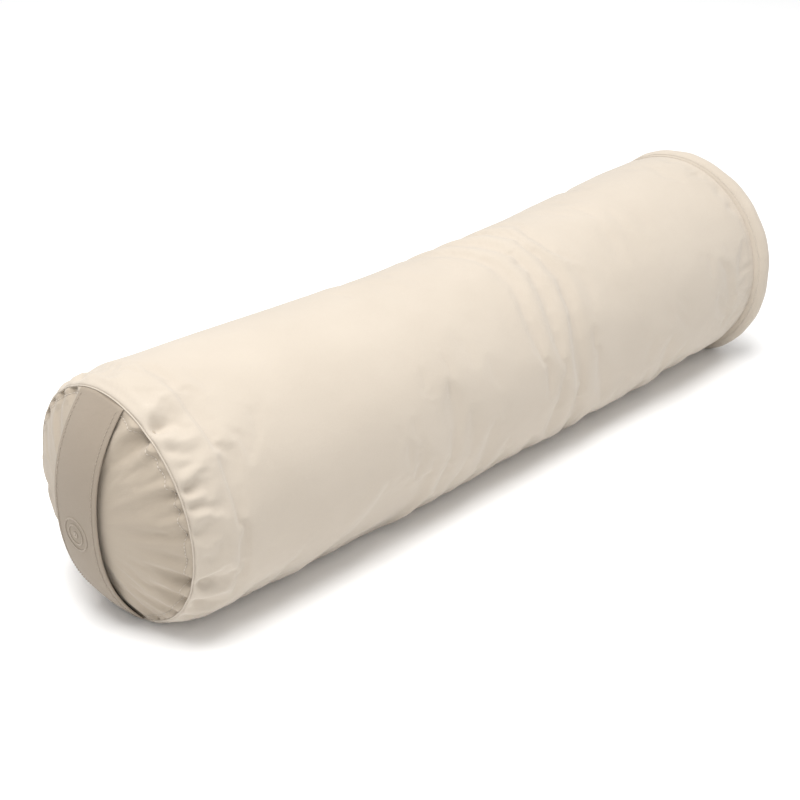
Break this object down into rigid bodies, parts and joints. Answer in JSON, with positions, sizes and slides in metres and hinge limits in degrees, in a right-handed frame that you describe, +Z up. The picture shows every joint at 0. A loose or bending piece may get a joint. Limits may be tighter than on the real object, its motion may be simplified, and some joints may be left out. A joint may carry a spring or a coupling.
{
  "type": "bolster pillow",
  "caption": "Cylindrical yoga bolster: a zipped cotton cover with a strap handle across one end, over a zipped liner filled with husks.",
  "frame": {"origin": "centre of the resting face on the underside", "axes": "+X along the bolster away from the handle, +Y towards the side with the zips, +Z up"},
  "size_m": [0.7698, 0.2234, 0.2067],
  "materials": {
    "canvas": "matt cotton twill",
    "calico": "matt calico",
    "thread": "matt cotton thread",
    "zip_tape": "woven tape",
    "zip_teeth": "moulded",
    "zip_metal": "satin",
    "husk": "loose husks"
  },
  "bodies": {
    "cover": {"cover_body": "canvas", "cover_handle_end": "canvas", "cover_far_end": "canvas", "handle_end_topstitch": "thread", "far_end_topstitch": "thread", "handle_end_overlock": "thread", "far_end_overlock": "thread", "cover_long_seam_thread": "thread", "handle_anchor_stitches": "thread", "cover_zip_upper_tape": "zip_tape", "cover_zip_lower_tape": "zip_tape", "cover_zip_upper_teeth": "zip_teeth", "cover_zip_lower_teeth": "zip_teeth", "cover_zip_top_stops": "zip_metal", "cover_zip_bottom_stop": "zip_metal", "cover_zip_stitches": "thread", "liner_body": "calico", "liner_handle_end": "calico", "liner_far_end": "calico", "liner_handle_end_thread": "thread", "liner_far_end_thread": "thread", "liner_zip_upper_tape": "zip_tape", "liner_zip_lower_tape": "zip_tape", "liner_zip_upper_teeth": "zip_teeth", "liner_zip_lower_teeth": "zip_teeth", "liner_zip_top_stops": "zip_metal", "liner_zip_bottom_stop": "zip_metal", "liner_zip_stitches": "thread", "husk_fill": "husk"},
    "handle": {"handle_strap": "canvas", "handle_edge_stitches": "thread", "handle_motif": "thread"},
    "cover_slider": {"cover_zip_slider": "zip_metal"},
    "cover_pull": {"cover_zip_pull": "zip_metal"},
    "liner_slider": {"liner_zip_slider": "zip_metal"},
    "liner_pull": {"liner_zip_pull": "zip_metal"}
  },
  "joints": [
    {"name": "handle_lift", "type": "slide", "parent": "cover", "child": "handle", "axis": [-1, 0, 0], "range_m": [0, 0.025]},
    {"name": "cover_zip_slide", "type": "slide", "parent": "cover", "child": "cover_slider", "axis": [-1, 0, 0], "range_m": [0, 0.501], "deforming": ["cover_zip_upper_teeth", "cover_zip_lower_teeth"]},
    {"name": "cover_pull_swing", "type": "hinge", "parent": "cover_slider", "child": "cover_pull", "pos_m": [0.252, 0.08947, 0.03909], "axis": [0, -0.5299, -0.848], "range_deg": [0, 165]},
    {"name": "liner_zip_slide", "type": "slide", "parent": "cover", "child": "liner_slider", "axis": [-1, 0, 0], "range_m": [0, 0.461], "deforming": ["liner_zip_upper_teeth", "liner_zip_lower_teeth"]},
    {"name": "liner_pull_swing", "type": "hinge", "parent": "liner_slider", "child": "liner_pull", "pos_m": [0.232, 0.0522, 0.01147], "axis": [0, -0.848, -0.5299], "range_deg": [0, 5]}
  ]
}
